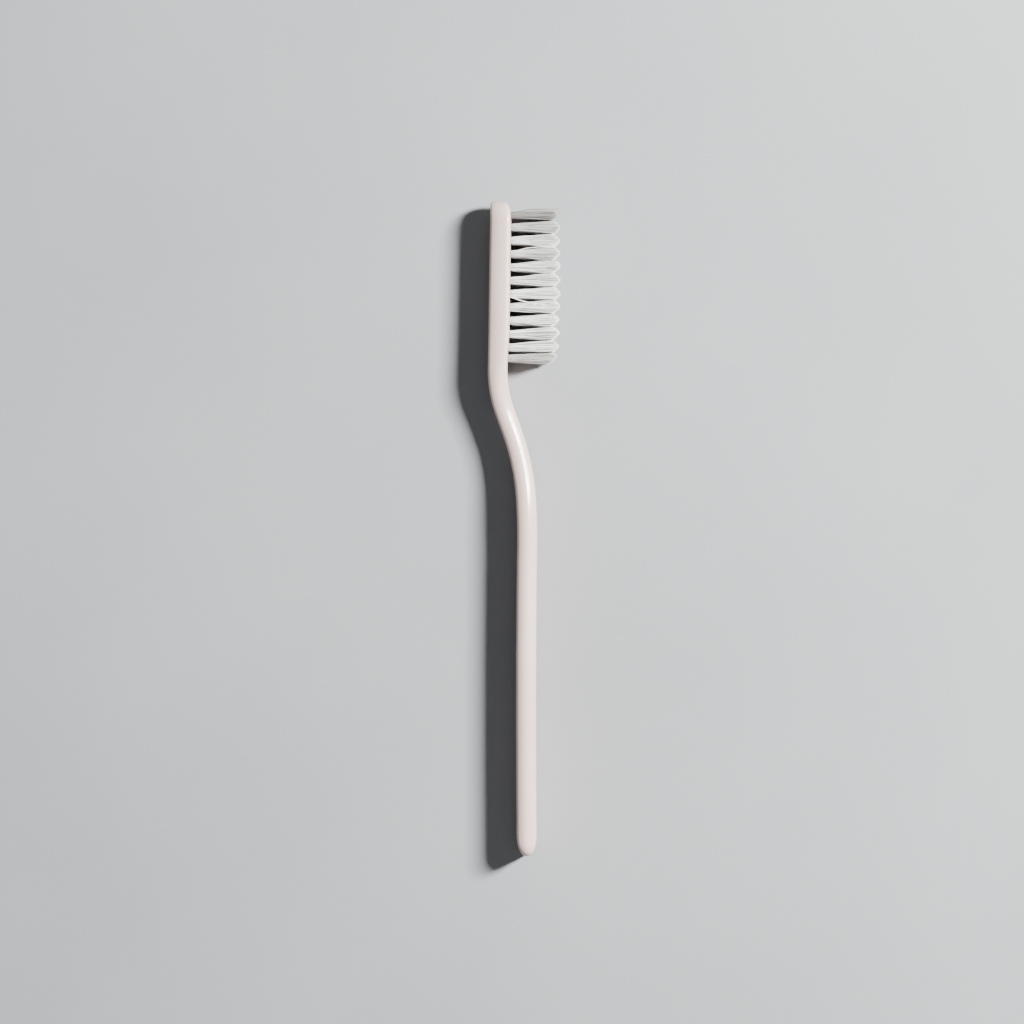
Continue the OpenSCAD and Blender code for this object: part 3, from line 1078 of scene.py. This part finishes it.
def stray_filament(name, path, radius, grey):
    """Bent tube through points of (height, along, across) over the head's face, in millimetres."""
    turns = turns_round(FILAMENT_SIDES)
    points = [
        (h * MM, (a + radius * math.cos(t)) * MM, (c + radius * math.sin(t)) * MM)
        for h, a, c in path
        for t in turns
    ]
    stored = {
        "along": [ring / (len(path) - 1) for ring in range(len(path)) for t in turns],
        "shade": [0.5] * len(points),
        "grey": [grey] * len(points),
    }
    stray = mesh_object(name, points, tube_faces(len(path), FILAMENT_SIDES), stored)
    stray.data.materials.append(bristle_nylon)
    stray.data.shade_smooth()
    return stray


def join(piece, others):
    """Joins other meshes to a piece."""
    with bpy.context.temp_override(active_object=piece, selected_editable_objects=[piece] + others):
        bpy.ops.object.join()


# Strays by the number of their tuft's column and row: how grey each is, and its path
STRAYS = {
    (1, 3): [
        (1.0, [(-1.0, 0.6, 0.3), (1.5, 0.85, 0.35), (4.1, 1.45, 0.5), (7.5, 1.62, 0.6), (12.05, 1.72, 0.6)]),
    ],
    (4, 4): [
        (0.1, [(-1.0, 0.5, 0.4), (1.5, 0.8, 0.6), (4.0, 1.5, 0.8), (7.0, 1.85, 0.8), (11.2, 1.9, 0.7)]),
    ],
    (7, 4): [
        (0.1, [(-1.0, -0.5, 0.5), (0.3, -0.85, 0.6), (2.4, -1.6, 0.75), (5.2, -2.45, 0.8), (9.5, -3, 0.75)]),
        (0.2, [(-1.0, -0.4, 0.4), (0.6, -0.75, 0.6), (3.0, -1.7, 0.8), (6.0, -2.3, 0.8), (10.2, -2.6, 0.7)]),
    ],
}
# Offset of each column's ridge towards the toe, and its drop, in millimetres
RIDGES = [(0.0, 0.35), (-0.1, 0.28), (0.0, 0.26), (0.2, 0.15), (0.4, 0.0), (0.15, -0.02)]
RIDGES += [(0.05, -0.11), (0.25, -0.04), (0.25, 0.15), (0.25, -0.04), (0.2, -0.05), (0.5, -0.37)]
# Painted shade on each column: how far its filaments go towards the grey tone
PAINTED_COLUMN_SHADE = [0.88, 0.45, 0.12, 0.33, 0.1, 0.0, 0.0, 0.0, 0.0, 0.0, 0.0, 0.48]

last_column = len(COLUMN_RUNS) - 1
pitches = [b - a for a, b in zip(COLUMN_RUNS, COLUMN_RUNS[1:])]
bundle_reach = BUNDLE_RADIUS + FILAMENT_RADIUS
face_count = 0
for number, (column, row, matrix) in enumerate(tufts):
    to_toe = (pitches[column - 1] - TIP_GAP) / 2 if column else bundle_reach + TOE_SPREAD
    to_neck = (pitches[column] - TIP_GAP) / 2 if column < last_column else bundle_reach + HEEL_SPREAD
    end_drop = END_DROP if column in (0, last_column) else 0.0
    offset, drop = RIDGES[column]
    bundle = mesh_object(f"bristles_{column + 1:02d}_{row + 1}", [(0, 0, 0)])
    run_tree(
        bundle,
        bundle_tree,
        {
            "Filaments": 110,
            "Seed": number + 1,
            "Filament": filament,
            "Filament radius": FILAMENT_RADIUS * MM,
            "Bundle radius": BUNDLE_RADIUS * MM,
            "Root depth": 1.2 * MM,
            "Toe reach": (to_toe - FILAMENT_RADIUS) * MM,
            "Neck reach": (to_neck - FILAMENT_RADIUS) * MM,
            "Row reach": ((ROW_PITCH - TIP_GAP) / 2 - FILAMENT_RADIUS) * MM,
            "Meeting height": MEETING_HEIGHT * MM,
            "Height": (BRISTLE_HEIGHT - end_drop - drop) * MM,
            "Trim slope": LAST_TRIM_SLOPE if column == last_column else TRIM_SLOPE,
            "Peak offset": offset * MM,
            "Blunt length": 0.35 * MM,
            "Uneven trim": 0.3 * MM,
            "Clump depth": 0.5 * MM,
            "Clump size": 0.5 * MM,
            "Streak size": 0.4 * MM,
            "Waver": 0.12 * MM,
            "Lean": TUFT_LEAN,
            "Greyness": PAINTED_COLUMN_SHADE[column],
            "Material": bristle_nylon,
        },
    )
    strays = [
        stray_filament(f"stray_{index}", path, STRAY_RADIUS, grey)
        for index, (grey, path) in enumerate(STRAYS.get((column + 1, row + 1), []))
    ]
    if strays:
        join(bundle, strays)
    bundle.data.transform(matrix)
    face_count += len(bundle.data.polygons)
    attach(bundle, "root")
    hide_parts(f"tuft_{column + 1:02d}_{row + 1}")
print("tufts: faces", face_count, "volume and open edges of one", volume(bundle))

# %% [markdown]
# The anchors stay as the CAD model made them, flat plates with two cut corners, because nothing finer
# than that could be seen of them. Here they only get their brass.
# The cutter, the single filament and the list of spots were tools of the trees, and go.

# %% Finish the anchors
anchors = [node for name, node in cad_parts.items() if name.startswith("anchors_")]
for node in anchors:
    node.data.materials.clear()
    node.data.materials.append(brass)
print("nodes in brass:", len(anchors))
for helper in (cutter, filament, hole_points):
    bpy.data.objects.remove(helper)

# %% [markdown]
# The studio: a pale table top, a soft light from the right and a little from the toe's side,
# and weak light from everywhere else, which keeps the shadow side readable.
# The table has a faint tone and grain, so that it doesn't look like nothing at all.

# %% Table and light
TABLE_HALF = 1.5
MIDDLE = Vector((0.0, 0.05, 0.006))
table = mesh_object(
    "table",
    [(x * TABLE_HALF, y * TABLE_HALF, 0) for x, y in ((-1, -1), (1, -1), (1, 1), (-1, 1))],
    [(0, 1, 2, 3)],
)
pale_top = surfaced_material(
    "Pale table",
    {
        "Colour": (0.255, 0.265, 0.275, 1),
        "Other tone": (0.28, 0.29, 0.30, 1),
        "Tone scale": 12.0,
        "Speck colour": (0.21, 0.22, 0.23, 1),
        "Speck scale": 300.0,
        "Speck size": 0.05,
        "Speck share": 0.1,
        "Grain scale": 1500.0,
        "Ripple scale": 300.0,
        "Ripple share": 0.3,
    },
    roughness=(0.6, 0.8),
    bump=0.00004,
    IOR=1.45,
)
table.data.materials.append(pale_top)
table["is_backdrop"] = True


def area_light(name, place_from, size, power, colour):
    """Rectangular lamp that shines on the middle of the brush."""
    light = bpy.data.lights.new(name, "AREA")
    light.shape = "RECTANGLE"
    light.size, light.size_y = size
    light.energy = power
    light.color = colour
    lamp = bpy.data.objects.new(name, light)
    bpy.context.scene.collection.objects.link(lamp)
    lamp.location = place_from
    direction = MIDDLE - lamp.location
    lamp.rotation_euler = direction.to_track_quat("-Z", "Y").to_euler()
    print("lamp", name, "at", place_from, "with", power, "W")


area_light("key", place_from=(0.60, 0.31, 0.66), size=(0.12, 0.26), power=46.0, colour=(1.0, 0.99, 0.98))
area_light("fill", place_from=(-0.6, 0.0, 0.8), size=(0.8, 0.8), power=0.6, colour=(0.95, 0.97, 1.0))
world = bpy.data.worlds.new("Studio")
bpy.context.scene.world = world
world.use_nodes = True
background = world.node_tree.nodes["Background"]
background.inputs["Color"].default_value = (0.93, 0.96, 1.0, 1)
background.inputs["Strength"].default_value = 0.22

# %% [markdown]
# The photograph looks straight down on the brush from far away, so a long lens high above the table
# gives the same view. The whole frame is 258 mm wide where it cuts the upper half of the brush.

# %% Camera
CAMERA_HEIGHT = 1.4
SENSOR_WIDTH = 36.0
FRAME_WIDTH = 0.258
FRAME_LEVEL = 0.009
camera_data = bpy.data.cameras.new("camera")
camera_data.sensor_width = SENSOR_WIDTH
camera_data.lens = SENSOR_WIDTH * (CAMERA_HEIGHT - FRAME_LEVEL) / FRAME_WIDTH
camera = bpy.data.objects.new("camera", camera_data)
bpy.context.scene.collection.objects.link(camera)
camera.location = (-3.55 * MM, 50.4 * MM, CAMERA_HEIGHT)
bpy.context.scene.camera = camera
print("lens:", round(camera_data.lens), "mm")

# %% [markdown]
# The CAD model's box and the finished model's box are printed one after the other.
# The second must lie inside the first, because a look never changes a size.

# %% Print the boxes and finish
visual_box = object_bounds()
boxes = {
    "cad": [list(corner) for corner in cad_box],
    "visual": [list(corner) for corner in visual_box],
}
for name, corners in boxes.items():
    print(name, [[round(value / MM, 2) for value in corner] for corner in corners])
